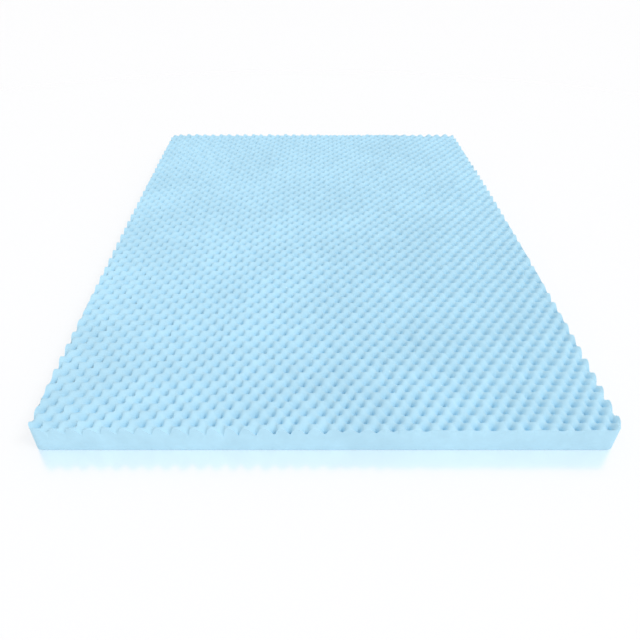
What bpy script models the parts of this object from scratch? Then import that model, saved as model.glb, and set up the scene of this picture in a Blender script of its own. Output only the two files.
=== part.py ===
"""Egg-crate foam mattress topper for a full-size bed: one slab of convoluted foam lying flat.

The top is a checkerboard of bumps and pits. The slab is shaped larger than the bed, then a
straight-sided block of the bed's outline is kept, as a knife would cut it, through bumps and pits
alike. The origin is on the flat underside, in the middle of the slab. Width runs along X, length
along Y, and the bumps point up.
"""
import math

import bmesh
import bpy

# Cut size of the slab, in metres
LENGTH = 1.905
END_WIDTH = 1.372
THICKNESS = 0.076
# How far each long side bulges past the line between its corners, at mid-length
RIGHT_BULGE = 0.013
LEFT_BULGE = 0.005
CORNER_RADIUS = 0.022
CORNER_STEPS = 4
UNDER_EDGE = 0.003
SIDE_STATIONS = 12

# Bumps: the height from pit to top, and the distance from bump to bump in one row and one column
BUMP_HEIGHT = 0.030
PITCH_ACROSS = 0.04081
PITCH_ALONG = 0.05128
# How far the pattern lies from a straight lattice, where the foam has stretched: a polynomial, with
# each term's power of x, power of y and amount
DRIFT_ACROSS = (
    (0, 0, 0.00121), (0, 1, 0.00243), (2, 0, 0.00629), (1, 1, -0.00314), (0, 2, -0.03020),
    (3, 0, 0.00486), (2, 1, -0.01772), (1, 2, 0.02757), (0, 3, 0.00328))
DRIFT_ALONG = (
    (0, 0, 0.00244), (1, 0, -0.00474), (2, 0, 0.00117), (1, 1, 0.00314), (0, 2, 0.00340),
    (3, 0, 0.00686), (2, 1, -0.01631), (1, 2, -0.01357), (0, 3, 0.01144))
DRIFT_ROUNDS = 8

# The shaped sheet reaches about this far past the cut, and this far below the underside, before it
# is cut
SPARE = 0.060
SPARE_BELOW = 0.010
CUT_ABOVE = 0.020

FOAM_COLOUR = (0.445, 0.730, 0.905, 1.0)
FOAM_ROUGHNESS = 0.9


def clear_scene():
    """Remove whatever the file holds, so that a second run starts clean."""
    for old in list(bpy.data.objects):
        bpy.data.objects.remove(old, do_unlink=True)
    for old in list(bpy.data.collections):
        bpy.data.collections.remove(old)


def new_collection(name):
    """Make a collection and link it to the scene."""
    collection = bpy.data.collections.new(name)
    bpy.context.scene.collection.children.link(collection)
    return collection


def new_object(name, bm, collection):
    """Turn a bmesh into an object in the collection."""
    mesh = bpy.data.meshes.new(name)
    bm.to_mesh(mesh)
    bm.free()
    thing = bpy.data.objects.new(name, mesh)
    collection.objects.link(thing)
    return thing


def foam_material():
    """Pale blue foam, matt."""
    material = bpy.data.materials.new("foam")
    material.use_nodes = True
    shader = material.node_tree.nodes["Principled BSDF"]
    shader.inputs["Base Color"].default_value = FOAM_COLOUR
    shader.inputs["Roughness"].default_value = FOAM_ROUGHNESS
    shader.inputs["Metallic"].default_value = 0.0
    material.diffuse_color = FOAM_COLOUR
    return material


def along_fraction(y):
    """One at mid-length, falling as a parabola to zero at the two ends."""
    return 1.0 - (2.0 * y / LENGTH) ** 2


def drift(x, y, terms):
    """Sum of the polynomial's terms at a place."""
    return sum(amount * x ** of_x * y ** of_y for of_x, of_y, amount in terms)


def bump_place(column, row):
    """Place of a lattice node, counted in half pitches from the middle bump.

    The node lies where its place and the drift there add up to its place in the straight lattice.
    That is found in a few rounds, each with the drift at the place that the last one gave.
    """
    straight_x = column * PITCH_ACROSS / 2
    straight_y = row * PITCH_ALONG / 2
    x = straight_x
    y = straight_y
    for _ in range(DRIFT_ROUNDS):
        across = drift(x, y, DRIFT_ACROSS)
        along = drift(x, y, DRIFT_ALONG)
        x = straight_x - across
        y = straight_y - along
    return x, y


def bumpy_sheet():
    """Closed slab with the bumps on top, larger than the cut on every side.

    Lattice nodes are half a pitch apart. They are bump tops and pits in turn, like the black and
    white squares of a checkerboard. Each four-cornered face is folded along its two tops, so the tops
    are joined by ridges and each pit is a hollow with four sides.
    """
    columns = math.ceil((END_WIDTH / 2 + SPARE) / (PITCH_ACROSS / 2))
    rows = math.ceil((LENGTH / 2 + SPARE) / (PITCH_ALONG / 2))
    bm = bmesh.new()
    bmesh.ops.create_grid(bm, x_segments=2 * columns, y_segments=2 * rows, size=1.0)
    for vert in bm.verts:
        column = round(vert.co.x * columns)
        row = round(vert.co.y * rows)
        is_top = (column + row) % 2 == 0
        x, y = bump_place(column, row)
        vert.co = (x, y, THICKNESS if is_top else THICKNESS - BUMP_HEIGHT)
    for face in list(bm.faces):
        first, second, third, fourth = face.verts
        if first.co.z > second.co.z:
            bmesh.utils.face_split(face, first, third)
        else:
            bmesh.utils.face_split(face, second, fourth)
    for face in bm.faces:
        face.smooth = True
    rim = [edge for edge in bm.edges if edge.is_boundary]
    skirt = bmesh.ops.extrude_edge_only(bm, edges=rim)["geom"]
    foot = [item for item in skirt if isinstance(item, bmesh.types.BMVert)]
    for vert in foot:
        vert.co.z = -SPARE_BELOW
    bmesh.ops.edgeloop_fill(bm, edges=[edge for edge in bm.edges if edge.is_boundary])
    bmesh.ops.recalc_face_normals(bm, faces=bm.faces)
    return bm


def cutting_block():
    """Block with the outline of the finished slab: what lies inside it is kept."""
    bm = bmesh.new()
    bmesh.ops.create_cube(bm, size=1.0)
    tall = THICKNESS + CUT_ABOVE
    bmesh.ops.scale(bm, vec=(END_WIDTH, LENGTH, tall), verts=bm.verts)
    bmesh.ops.translate(bm, vec=(0.0, 0.0, tall / 2), verts=bm.verts)
    corners = [edge for edge in bm.edges if abs(edge.verts[0].co.z - edge.verts[1].co.z) > tall / 2]
    bmesh.ops.bevel(bm, geom=corners, offset=CORNER_RADIUS, segments=CORNER_STEPS, profile=0.5,
                    affect="EDGES", clamp_overlap=True)
    under = [edge for edge in bm.edges if max(vert.co.z for vert in edge.verts) < tall / 2]
    bmesh.ops.bevel(bm, geom=under, offset=UNDER_EDGE, segments=1, profile=0.5, affect="EDGES",
                    clamp_overlap=True)
    for station in range(1, SIDE_STATIONS):
        y = LENGTH * (station / SIDE_STATIONS - 0.5)
        geometry = list(bm.verts) + list(bm.edges) + list(bm.faces)
        bmesh.ops.bisect_plane(bm, geom=geometry, plane_co=(0.0, y, 0.0), plane_no=(0.0, 1.0, 0.0))
    centre_shift = (RIGHT_BULGE - LEFT_BULGE) / 2
    for vert in bm.verts:
        bulge = RIGHT_BULGE if vert.co.x > 0 else -LEFT_BULGE
        vert.co.x += bulge * along_fraction(vert.co.y) - centre_shift
    bmesh.ops.recalc_face_normals(bm, faces=bm.faces)
    return bm


def build():
    """Shape the sheet and cut it to the bed's size."""
    clear_scene()
    parts = new_collection("mattress_topper")
    cutters = new_collection("cutters")

    knife = new_object("outline_cut", cutting_block(), cutters)
    knife.hide_render = True
    knife.display_type = "WIRE"

    topper = new_object("foam_slab", bumpy_sheet(), parts)
    topper.data.materials.append(foam_material())
    cut = topper.modifiers.new("cut to size", "BOOLEAN")
    cut.operation = "INTERSECT"
    cut.object = knife


build()
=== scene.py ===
"""Looks of a full-size egg-crate mattress topper: one slab of pale blue convoluted foam, lying flat.

The slab is one closed surface: a height field of round bumps, the cut walls round it, a softened
lower edge and a flat underside. Lengths are in metres unless a name says otherwise.
"""
import logging
import math
from dataclasses import dataclass, field
from enum import Enum

import bpy
import numpy as np
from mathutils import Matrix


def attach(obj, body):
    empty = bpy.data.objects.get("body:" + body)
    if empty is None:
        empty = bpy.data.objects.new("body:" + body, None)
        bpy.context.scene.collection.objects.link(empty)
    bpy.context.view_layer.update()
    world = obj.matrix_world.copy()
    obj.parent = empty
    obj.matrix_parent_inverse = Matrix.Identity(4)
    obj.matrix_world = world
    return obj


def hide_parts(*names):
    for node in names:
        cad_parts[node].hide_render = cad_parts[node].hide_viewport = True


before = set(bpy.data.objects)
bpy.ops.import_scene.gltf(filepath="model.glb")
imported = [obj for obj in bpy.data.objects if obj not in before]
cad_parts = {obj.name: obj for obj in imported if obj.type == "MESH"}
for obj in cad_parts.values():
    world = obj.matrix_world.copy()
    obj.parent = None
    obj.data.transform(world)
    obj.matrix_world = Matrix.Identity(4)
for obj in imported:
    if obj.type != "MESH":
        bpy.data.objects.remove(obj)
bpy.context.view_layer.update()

MM = 0.001
LOG = logging.getLogger("topper")
SLAB_NODE = "foam_slab"
PICTURE_SIDE = 640


class NoiseScale(Enum):
    """The sizes of unevenness that foam shows: a patch's width in millimetres, and finer layers."""

    BATCH = (240.0, 2.0)
    PATCH = (38.0, 3.0)
    PORE = (3.2, 4.0)


def linear(hex_colour: str) -> tuple[float, float, float, float]:
    """Turn an sRGB hex colour into the linear values that a shader takes.

    Args:
        hex_colour: Six hex digits after a hash sign.

    Returns:
        Red, green, blue and an alpha of one.
    """
    values = [int(hex_colour[place:place + 2], 16) / 255 for place in (1, 3, 5)]
    red, green, blue = (v / 12.92 if v <= 0.04045 else ((v + 0.055) / 1.055) ** 2.4 for v in values)
    return red, green, blue, 1.0


def add_node(tree: bpy.types.NodeTree, kind: str, settings: dict | None = None,
             links: dict | None = None) -> bpy.types.Node:
    """Add one node with its settings and the links that feed it.

    Args:
        tree: The material's node tree.
        kind: The node's Blender type name.
        settings: Values by name: a node's own property, or else the default of an input.
        links: The output socket that feeds each input, by the input's name or number.

    Returns:
        The new node.
    """
    node = tree.nodes.new(kind)
    for name, value in (settings or {}).items():
        if isinstance(name, str) and hasattr(node, name):
            setattr(node, name, value)
        else:
            node.inputs[name].default_value = value
    for name, source in (links or {}).items():
        tree.links.new(source, node.inputs[name])
    return node


@dataclass(frozen=True)
class FoamFinish:
    """Open-cell polyurethane foam, sliced by a blade between toothed rollers.

    The eye sees a matt, slightly powdery surface: light sinks in a little and comes out softened, and
    fine cut cells break it up. The dye is even, with faint cloudy patches.
    """

    name: str = "polyurethane foam, convoluted and knife cut"
    dye: str = "#BAE4F8"
    patch_dye: str = "#B2DBEF"
    patch_start: float = 0.75
    patch_end: float = 1.25
    layer_strength: float = 0.55
    roughness: float = 0.92
    refraction: float = 1.45
    gloss: float = 0.25
    sheen: float = 0.06
    sheen_roughness: float = 0.6
    pore_depth: float = 0.25 * MM
    pore_strength: float = 0.6

    def material(self) -> bpy.types.Material:
        """Build the foam's material.

        Returns:
            A material whose colour drifts over the sheet and whose surface has fine open cells. Real
            cells are about 0.4 mm wide, too fine to show, and are drawn eight times as coarse.
        """
        made = bpy.data.materials.new(self.name)
        made.use_nodes = True
        tree = made.node_tree
        tree.nodes.clear()
        place = add_node(tree, "ShaderNodeTexCoord").outputs["Object"]
        clouds = self.patches(tree, place, NoiseScale.PATCH)
        batch = self.patches(tree, place, NoiseScale.BATCH)
        both = add_node(tree, "ShaderNodeMath", {"operation": "ADD"}, {0: clouds, 1: batch})
        share = add_node(tree, "ShaderNodeMapRange",
                         {"From Min": self.patch_start, "From Max": self.patch_end},
                         {"Value": both.outputs[0]})
        colour = add_node(tree, "ShaderNodeMix",
                          {"data_type": "RGBA", 6: linear(self.dye), 7: linear(self.patch_dye)},
                          {0: share.outputs["Result"]})
        pores = self.patches(tree, place, NoiseScale.PORE)
        relief = add_node(tree, "ShaderNodeBump",
                          {"Strength": self.pore_strength, "Distance": self.pore_depth},
                          {"Height": pores})
        shader = add_node(
            tree, "ShaderNodeBsdfPrincipled",
            {"Roughness": self.roughness, "IOR": self.refraction, "Specular IOR Level": self.gloss,
             "Sheen Weight": self.sheen, "Sheen Roughness": self.sheen_roughness},
            {"Base Color": colour.outputs[2], "Normal": relief.outputs["Normal"]})
        add_node(tree, "ShaderNodeOutputMaterial", None, {"Surface": shader.outputs["BSDF"]})
        return made

    def patches(self, tree: bpy.types.NodeTree, place: bpy.types.NodeSocket,
                scale: NoiseScale) -> bpy.types.NodeSocket:
        """Add cloudy noise of one real size.

        Args:
            tree: The material's node tree.
            place: The position on the piece, in metres.
            scale: The width of a patch, and how many finer layers are added.

        Returns:
            The noise's value, around one half.
        """
        width, layers = scale.value
        noise = add_node(
            tree, "ShaderNodeTexNoise",
            {"Scale": 1 / (width * MM), "Detail": layers, "Roughness": self.layer_strength},
            {"Vector": place})
        return noise.outputs["Fac"]


@dataclass(frozen=True)
class PaleFloor:
    """White acrylic board, polished and lit from below: a near-white ground with soft reflections."""

    name: str = "white acrylic board, polished"
    colour: str = "#FAFAFB"
    roughness: float = 0.2
    mirror: float = 0.66
    glow: float = 0.125

    def material(self) -> bpy.types.Material:
        """Build the board's material."""
        made = bpy.data.materials.new(self.name)
        made.use_nodes = True
        shader = made.node_tree.nodes["Principled BSDF"]
        shader.inputs["Base Color"].default_value = linear(self.colour)
        shader.inputs["Roughness"].default_value = self.roughness
        shader.inputs["Metallic"].default_value = self.mirror
        shader.inputs["Emission Color"].default_value = linear(self.colour)
        shader.inputs["Emission Strength"].default_value = self.glow
        return made


@dataclass
class CutOutline:
    """The plan outline that the slab was cut to: straight ends, bulging sides and round corners."""

    length: float = 1.905
    end_width: float = 1.372
    right_bulge: float = 0.013
    left_bulge: float = 0.005
    corner_radius: float = 0.022
    corner_steps: int = 6

    def along_fraction(self, y: np.ndarray) -> np.ndarray:
        """One at mid-length, falling as a parabola to zero at the two ends."""
        return 1.0 - (2.0 * y / self.length) ** 2

    def corner_loss(self, y: np.ndarray) -> np.ndarray:
        """Width that a round corner takes from each side: the radius less a circle's height.

        Args:
            y: Places along the slab.

        Returns:
            The loss at each place, zero where the side is straight.
        """
        radius = self.corner_radius
        into = np.clip(radius - (self.length / 2 - np.abs(y)), 0.0, radius)
        return radius - np.sqrt(radius ** 2 - into ** 2)

    def sides(self, y: np.ndarray) -> tuple[np.ndarray, np.ndarray]:
        """The left and right limits of the slab.

        Args:
            y: Places along the slab.

        Returns:
            The x of the left side and of the right side at each place.
        """
        half = self.end_width / 2 - self.corner_loss(y)
        middle = (self.right_bulge - self.left_bulge) / 2
        bow = self.along_fraction(y)
        return -half - self.left_bulge * bow - middle, half + self.right_bulge * bow - middle

    def middle_sides(self) -> tuple[float, float]:
        """The x of the left side and of the right side at mid-length."""
        left, right = self.sides(np.zeros(1))
        return left[0], right[0]

    def arc_stations(self) -> np.ndarray:
        """Places along the slab of the rows of points on the two front corners' arcs.

        Returns:
            Rising y values from the front end to where the sides are straight.
        """
        turn = np.linspace(0.0, math.pi / 2, self.corner_steps + 1)
        return self.corner_radius * (1.0 - np.cos(turn)) - self.length / 2


@dataclass
class BumpPattern:
    """The checkerboard of bumps and pits that the toothed rollers leave.

    The drifts are polynomials: each term holds the power of x, the power of y and the amount.
    """

    outline: CutOutline
    top: float = 0.076
    bump_height: float = 0.030
    pitch_across: float = 0.04081
    pitch_along: float = 0.05128
    drift_across: tuple[tuple[int, int, float], ...] = (
        (0, 0, 0.00121), (0, 1, 0.00243), (2, 0, 0.00629), (1, 1, -0.00314), (0, 2, -0.03020),
        (3, 0, 0.00486), (2, 1, -0.01772), (1, 2, 0.02757), (0, 3, 0.00328))
    drift_along: tuple[tuple[int, int, float], ...] = (
        (0, 0, 0.00244), (1, 0, -0.00474), (2, 0, 0.00117), (1, 1, 0.00314), (0, 2, 0.00340),
        (3, 0, 0.00686), (2, 1, -0.01631), (1, 2, -0.01357), (0, 3, 0.01144))
    flat_tops: float = 1.25
    pit_cone: float = 0.48
    lean_right: float = 0.007
    lean_spread: float = 0.007
    lean_front: float = 0.004
    lean_rounds: int = 14
    first_depth: float = 0.3
    front_press: float = 0.006
    front_press_reach: float = 0.016
    front_press_from: float = 0.25
    front_press_fade: float = 0.30
    side_press: float = 0.010
    side_press_reach: float = 0.035
    side_press_run: float = 0.25
    wander: float = 0.0012
    wander_length: float = 0.13
    wander_waves: int = 14
    unevenness: float = 0.0010
    uneven_length: float = 0.06
    uneven_waves: int = 18
    shortest_wave: float = 0.7
    wave_range: float = 0.6
    sink: float = 0.0015
    seed: int = 7
    line_steps: tuple[float, ...] = (-0.125, 0.0, 0.125, 0.25)

    def ripples(self, x: np.ndarray, y: np.ndarray, wavelength: float, count: int,
                rng: np.random.Generator) -> np.ndarray:
        """Smooth random field: a sum of plane sine waves in all directions, not all of one length.

        Args:
            x: Places across.
            y: Places along.
            wavelength: The middle wavelength.
            count: How many waves are added.
            rng: The source of directions, phases and lengths.

        Returns:
            A field with a mean square of one.
        """
        field_sum = np.zeros_like(x)
        for turn, phase, stretch in rng.uniform(0.0, 1.0, (count, 3)):
            wave = 2 * math.pi / (wavelength * (self.shortest_wave + self.wave_range * stretch))
            angle = math.pi * turn
            distance = x * math.cos(angle) + y * math.sin(angle)
            field_sum += np.sin(wave * distance + 2 * math.pi * phase)
        return field_sum * math.sqrt(2 / count)

    def drift(self, x: np.ndarray, y: np.ndarray,
              terms: tuple[tuple[int, int, float], ...]) -> np.ndarray:
        """How far the pattern lies from a straight lattice, where the foam has stretched.

        Args:
            x: Places across.
            y: Places along.
            terms: The polynomial's terms.

        Returns:
            The sum of the terms at each place.
        """
        return sum(amount * x ** of_x * y ** of_y for of_x, of_y, amount in terms)

    def pressed(self, x: np.ndarray, y: np.ndarray) -> tuple[np.ndarray, np.ndarray]:
        """Extra drift near the front corners, where the foam was pressed as it was cut.

        On the left the foremost rows lie further back, and on the right the outermost columns lie
        further in. Each shift falls off from its edge as an exponential of the distance. The front's
        starts some way left of the middle and grows evenly, and the side's also falls off to the back.

        Args:
            x: Places across.
            y: Places along.

        Returns:
            The drift across and the drift along at each place.
        """
        from_front = self.outline.length / 2 + y
        from_right = self.outline.end_width / 2 - x
        on_left = np.clip((-x - self.front_press_from) / self.front_press_fade, 0.0, 1.0)
        across = self.side_press * np.exp(-from_right / self.side_press_reach
                                          - from_front / self.side_press_run)
        along = -self.front_press * np.exp(-from_front / self.front_press_reach) * on_left
        return across, along

    def line_numbers(self, pitch: float, reach: float) -> np.ndarray:
        """Numbers of the lines that points are laid on, counted in pitches from the middle bump.

        Args:
            pitch: The distance between bumps.
            reach: How far the lines go to each side of the middle bump.

        Returns:
            Rising numbers.
        """
        halves = np.arange(-math.ceil(2 * reach / pitch), math.ceil(2 * reach / pitch) + 1) / 2
        return (halves[:, None] + np.array(self.line_steps)[None, :]).ravel()

    def heights(self, x: np.ndarray, y: np.ndarray) -> np.ndarray:
        """Height of the foam's top at each place.

        The pattern is the product of two cosines, one across and one along, which is one at a bump's
        top and minus one in a pit. Its depth under the tops is one less a power of the pattern, which
        makes each pit a cone, and that depth is raised to a power over one, which flattens the tops.
        The pits lean to the right, most of all at the slab's left side, and a little to the front:
        the pattern is read further left and further back by those leans times the depth. Since each
        depends on the other, the depth is worked out in rounds, each the mean of the last depth and
        the new one. Last come the unevenness, and a sink that keeps the highest tops near the slab's
        thickness.

        Args:
            x: Places across.
            y: Places along.

        Returns:
            Heights above the underside.
        """
        rng = np.random.default_rng(self.seed)
        stray_x = self.wander * self.ripples(x, y, self.wander_length, self.wander_waves, rng)
        stray_y = self.wander * self.ripples(x, y, self.wander_length, self.wander_waves, rng)
        pressed_across, pressed_along = self.pressed(x, y)
        across = x + stray_x + self.drift(x, y, self.drift_across) + pressed_across
        along = y + stray_y + self.drift(x, y, self.drift_along) + pressed_along
        lean = self.lean_right - self.lean_spread * 2 * x / self.outline.end_width
        depth = np.full_like(x, self.first_depth)
        for _ in range(self.lean_rounds):
            column_turn = 2 * math.pi * (across - lean * depth) / self.pitch_across
            row_turn = 2 * math.pi * (along + self.lean_front * depth) / self.pitch_along
            share = (1 + np.cos(column_turn) * np.cos(row_turn)) / 2
            depth = (depth + (1 - share ** self.pit_cone) ** self.flat_tops) / 2
        uneven = self.unevenness * self.ripples(x, y, self.uneven_length, self.uneven_waves, rng)
        return self.top - self.bump_height * depth + uneven - self.sink


@dataclass
class FoamSlab:
    """The whole topper: bumpy top, cut walls, softened lower edge and flat underside."""

    outline: CutOutline = field(default_factory=CutOutline)
    finish: FoamFinish = field(default_factory=FoamFinish)
    line_rounds: int = 8
    least_gap: float = 0.0025
    ease_width: float = 0.12
    lower_edge_radius: float = 0.002
    edge_steps: int = 3
    wall_steps: int = 3
    sharp_angle: float = math.radians(58)

    def __post_init__(self) -> None:
        """Lay the bump pattern out on the outline."""
        self.pattern = BumpPattern(self.outline)

    def row_lines(self) -> tuple[np.ndarray, np.ndarray]:
        """Rows of the top's points: the corners' arcs, and the pattern's lines between them.

        Returns:
            Each row's y at mid-width, and the number of its line, zero on the arcs.
        """
        pattern = self.pattern
        numbers = pattern.line_numbers(pattern.pitch_along, self.outline.length / 2)
        y = numbers * pattern.pitch_along
        for _ in range(self.line_rounds):
            y = numbers * pattern.pitch_along - pattern.drift(0.0, y, pattern.drift_along)
        arc = self.outline.arc_stations()
        inner = np.abs(y) < -arc[-1] - self.least_gap
        y = np.concatenate([arc, y[inner], -arc[::-1]])
        numbers = np.concatenate([arc * 0, numbers[inner], arc * 0])
        return y[:, None], numbers[:, None]

    def column_lines(self) -> tuple[np.ndarray, np.ndarray]:
        """Columns of the top's points: the two sides, and the pattern's lines between them.

        Returns:
            Each column's share of the way from the left side to the right one at mid-length, and the
            number of its line, zero on the sides.
        """
        pattern = self.pattern
        numbers = pattern.line_numbers(pattern.pitch_across, self.outline.end_width)
        x = numbers * pattern.pitch_across
        for _ in range(self.line_rounds):
            x = numbers * pattern.pitch_across - pattern.drift(x, 0.0, pattern.drift_across)
        left, right = self.outline.middle_sides()
        inner = (x > left + self.least_gap) & (x < right - self.least_gap)
        share = np.concatenate([[0.0], (x[inner] - left) / (right - left), [1.0]])
        numbers = np.concatenate([[0.0], numbers[inner], [0.0]])
        return share[None, :], numbers[None, :]

    def top_grid(self) -> np.ndarray:
        """Points of the top, laid on lines that follow the pattern through tops and pits.

        Each point's place is the pattern's line less the drift there. Towards the rim it is mixed
        with an even spread, smoothly, until the outermost points lie on the outline. The drift is
        taken at the point itself, so this is worked out in rounds.

        Returns:
            An array of rows by columns by three.
        """
        pattern, outline = self.pattern, self.outline
        even_y, along = self.row_lines()
        share, across = self.column_lines()
        left, right = outline.middle_sides()
        follow_x = self.ease(np.minimum(share, 1 - share) * (right - left))
        follow_y = self.ease(outline.length / 2 - outline.corner_radius - np.abs(even_y))
        y = even_y + 0 * share
        left, right = outline.sides(y)
        x = left + (right - left) * share
        for _ in range(self.line_rounds):
            line_x = across * pattern.pitch_across - pattern.drift(x, y, pattern.drift_across)
            line_y = along * pattern.pitch_along - pattern.drift(x, y, pattern.drift_along)
            y = even_y + follow_y * (line_y - even_y)
            left, right = outline.sides(y)
            even_x = left + (right - left) * share
            x = even_x + follow_x * (line_x - even_x)
        return np.stack([x, y, pattern.heights(x, y)], axis=2)

    def ease(self, inside: np.ndarray) -> np.ndarray:
        """How closely points follow the pattern: from none at the rim to wholly, as a smooth step.

        Args:
            inside: Distance from the rim.

        Returns:
            Shares from zero to one.
        """
        part = np.clip(inside / self.ease_width, 0.0, 1.0)
        return part * part * (3 - 2 * part)

    def rim_order(self, rows: int, columns: int) -> np.ndarray:
        """Numbers of the top's border points, anticlockwise from the front left corner.

        Args:
            rows: Rows of the top grid.
            columns: Columns of the top grid.

        Returns:
            Point numbers, each once.
        """
        number = np.arange(rows * columns).reshape(rows, columns)
        return np.concatenate([number[0, :-1], number[:-1, -1], number[-1, :0:-1], number[:0:-1, 0]])

    def wall_rings(self, rim: np.ndarray) -> np.ndarray:
        """Rings of points from the rim down the wall and round the lower edge.

        The wall goes straight down in even steps. The lower edge is a quarter circle that leads
        inwards, along each point's own direction away from the outline.

        Args:
            rim: The border points of the top.

        Returns:
            An array of rings by points by three, from the highest ring to the one at the floor.
        """
        step = np.roll(rim[:, :2], -1, axis=0) - np.roll(rim[:, :2], 1, axis=0)
        inwards = np.stack([-step[:, 1], step[:, 0]], axis=1)
        inwards /= np.linalg.norm(inwards, axis=1, keepdims=True)
        radius = self.lower_edge_radius
        rings = []
        for share in np.linspace(0.0, 1.0, self.wall_steps + 1)[1:]:
            height = rim[:, 2] + (radius - rim[:, 2]) * share
            rings.append(np.column_stack([rim[:, :2], height]))
        for turn in np.linspace(0.0, math.pi / 2, self.edge_steps + 1)[1:]:
            plan = rim[:, :2] + inwards * radius * (1 - math.cos(turn))
            rings.append(np.column_stack([plan, np.full(len(rim), radius * (1 - math.sin(turn)))]))
        return np.array(rings)

    def surface(self) -> tuple[np.ndarray, np.ndarray, np.ndarray]:
        """Join the top and the walls, ring by ring.

        Returns:
            The points, the four-cornered faces, and the numbers of the lowest ring's points.
        """
        top = self.top_grid()
        rows, columns = top.shape[:2]
        number = np.arange(rows * columns).reshape(rows, columns)
        quads = [np.stack([number[:-1, :-1], number[:-1, 1:], number[1:, 1:], number[1:, :-1]],
                          axis=2).reshape(-1, 4)]
        upper = self.rim_order(rows, columns)
        points = top.reshape(-1, 3)
        rings = self.wall_rings(points[upper])
        start = len(points)
        for _ in rings:
            lower = np.arange(start, start + len(upper))
            quads.append(np.stack([upper, lower, np.roll(lower, -1), np.roll(upper, -1)], axis=1))
            upper = lower
            start += len(lower)
        return np.concatenate([points, rings.reshape(-1, 3)]), np.concatenate(quads), upper

    def build(self) -> bpy.types.Object:
        """Close the surface with the underside, one flat face, and dress it in foam.

        Returns:
            The slab's object, at the origin.
        """
        points, faces, lowest = self.surface()
        mesh = bpy.data.meshes.new("foam_slab_shaped")
        mesh.vertices.add(len(points))
        mesh.vertices.foreach_set("co", points.astype(np.float32).ravel())
        corners = np.concatenate([faces.ravel(), lowest[::-1]])
        mesh.loops.add(len(corners))
        mesh.loops.foreach_set("vertex_index", corners.astype(np.int32))
        mesh.polygons.add(len(faces) + 1)
        starts = np.arange(0, 4 * len(faces) + 1, 4)
        mesh.polygons.foreach_set("loop_start", starts.astype(np.int32))
        mesh.update(calc_edges=True)
        mesh.validate()
        mesh.shade_smooth()
        mesh.set_sharp_from_angle(angle=self.sharp_angle)
        mesh.materials.append(self.finish.material())
        slab = bpy.data.objects.new("shaped_foam_slab", mesh)
        bpy.context.scene.collection.objects.link(slab)
        return slab

    def place(self) -> bpy.types.Object:
        """Build the slab and tell the frame what it is.

        Returns:
            The slab's object.
        """
        slab = self.build()
        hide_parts(SLAB_NODE)
        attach(slab, "root")
        return slab


@dataclass(frozen=True)
class SoftLamp:
    """One large, distant studio lamp, whose width softens its shadows.

    Its width and height are angles seen from the slab, and its bearing runs anticlockwise from +X,
    all in degrees.
    """

    name: str
    strength: float
    width: float
    height: float
    bearing: float

    def hang(self) -> bpy.types.Object:
        """Hang the lamp.

        Returns:
            The lamp, turned so that its light comes from its bearing and height.
        """
        light = bpy.data.lights.new(self.name, "SUN")
        light.energy = self.strength
        light.angle = math.radians(self.width)
        lamp = bpy.data.objects.new(self.name, light)
        lamp.rotation_euler = (math.radians(90 - self.height), 0.0, math.radians(self.bearing + 90))
        bpy.context.scene.collection.objects.link(lamp)
        return lamp


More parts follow.
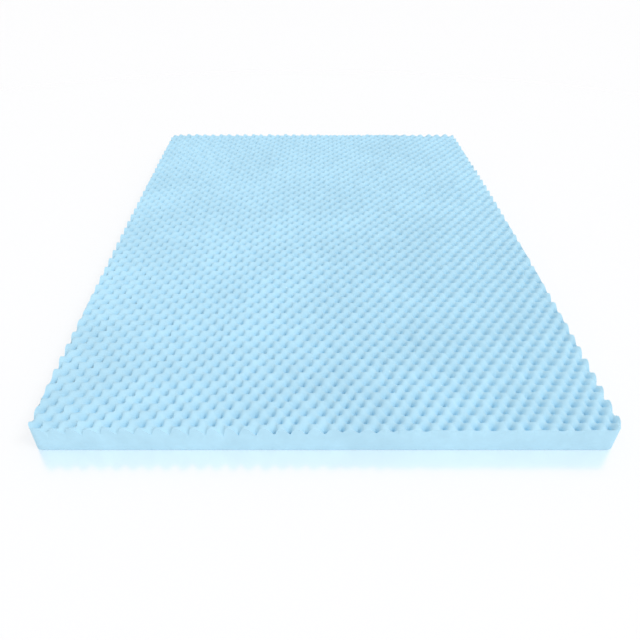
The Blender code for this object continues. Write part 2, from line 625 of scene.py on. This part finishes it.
@dataclass
class Studio:
    """Pale floor, soft light and the camera at the picture's angle."""

    floor: PaleFloor = field(default_factory=PaleFloor)
    floor_side: float = 60.0
    floor_drop: float = 0.3 * MM
    camera_place: tuple[float, float, float] = (-0.0565, -1.8484, 1.0739)
    camera_down: float = math.radians(37.473)
    focal_pixels: float = 577.8
    vanishing_x: float = 302.4
    sensor_mm: float = 36.0
    main: SoftLamp = SoftLamp("main_softbox", 0.74, 20.0, 50.0, 338.0)
    fill: SoftLamp = SoftLamp("front_fill", 0.36, 50.0, 7.0, 275.0)
    sky_strength: float = 0.85

    def lay_floor(self) -> bpy.types.Object:
        """Lay the floor just under the slab.

        Returns:
            The floor's object.
        """
        side = self.floor_side / 2
        mesh = bpy.data.meshes.new("studio_floor")
        corners = [(-side, -side), (side, -side), (side, side), (-side, side)]
        mesh.from_pydata([(x, y, -self.floor_drop) for x, y in corners], [], [(0, 1, 2, 3)])
        mesh.materials.append(self.floor.material())
        floor = bpy.data.objects.new("studio_floor", mesh)
        bpy.context.scene.collection.objects.link(floor)
        return floor

    def light_room(self) -> bpy.types.World:
        """Fill the room with even white light, and show its tones as they are.

        Returns:
            The world.
        """
        world = bpy.data.worlds.new("white_room")
        world.use_nodes = True
        background = world.node_tree.nodes["Background"]
        background.inputs["Color"].default_value = (1.0, 1.0, 1.0, 1.0)
        background.inputs["Strength"].default_value = self.sky_strength
        bpy.context.scene.world = world
        bpy.context.scene.view_settings.view_transform = "Standard"
        return world

    def aim_camera(self) -> bpy.types.Object:
        """Set the camera up: without roll, looking along the length and down at the slab.

        The sideways shift puts the point where the slab's long sides would meet at its place in the
        picture.

        Returns:
            The camera.
        """
        lens = bpy.data.cameras.new("picture_camera")
        lens.sensor_width = self.sensor_mm
        lens.lens = self.focal_pixels / PICTURE_SIDE * self.sensor_mm
        lens.shift_x = (PICTURE_SIDE / 2 - self.vanishing_x) / PICTURE_SIDE
        camera = bpy.data.objects.new("picture_camera", lens)
        camera.location = self.camera_place
        camera.rotation_euler = (math.pi / 2 - self.camera_down, 0.0, 0.0)
        bpy.context.scene.collection.objects.link(camera)
        bpy.context.scene.camera = camera
        return camera

    def build(self) -> list[bpy.types.ID]:
        """Set up the camera, the lights and the floor, in that order."""
        return [self.aim_camera(), self.main.hang(), self.fill.hang(), self.light_room(),
                self.lay_floor()]


def write_sizes() -> None:
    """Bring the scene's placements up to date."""
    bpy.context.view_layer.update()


def main() -> None:
    """Build the studio and the slab, and report each piece."""
    logging.basicConfig(level=logging.INFO, format="%(name)s: %(message)s")
    for thing in Studio().build():
        LOG.info("studio: %s", thing.name)
    slab = FoamSlab().place()
    LOG.info("piece: %s, %d points, %d faces", slab.name, len(slab.data.vertices),
             len(slab.data.polygons))
    write_sizes()


if __name__ == "__main__":
    main()
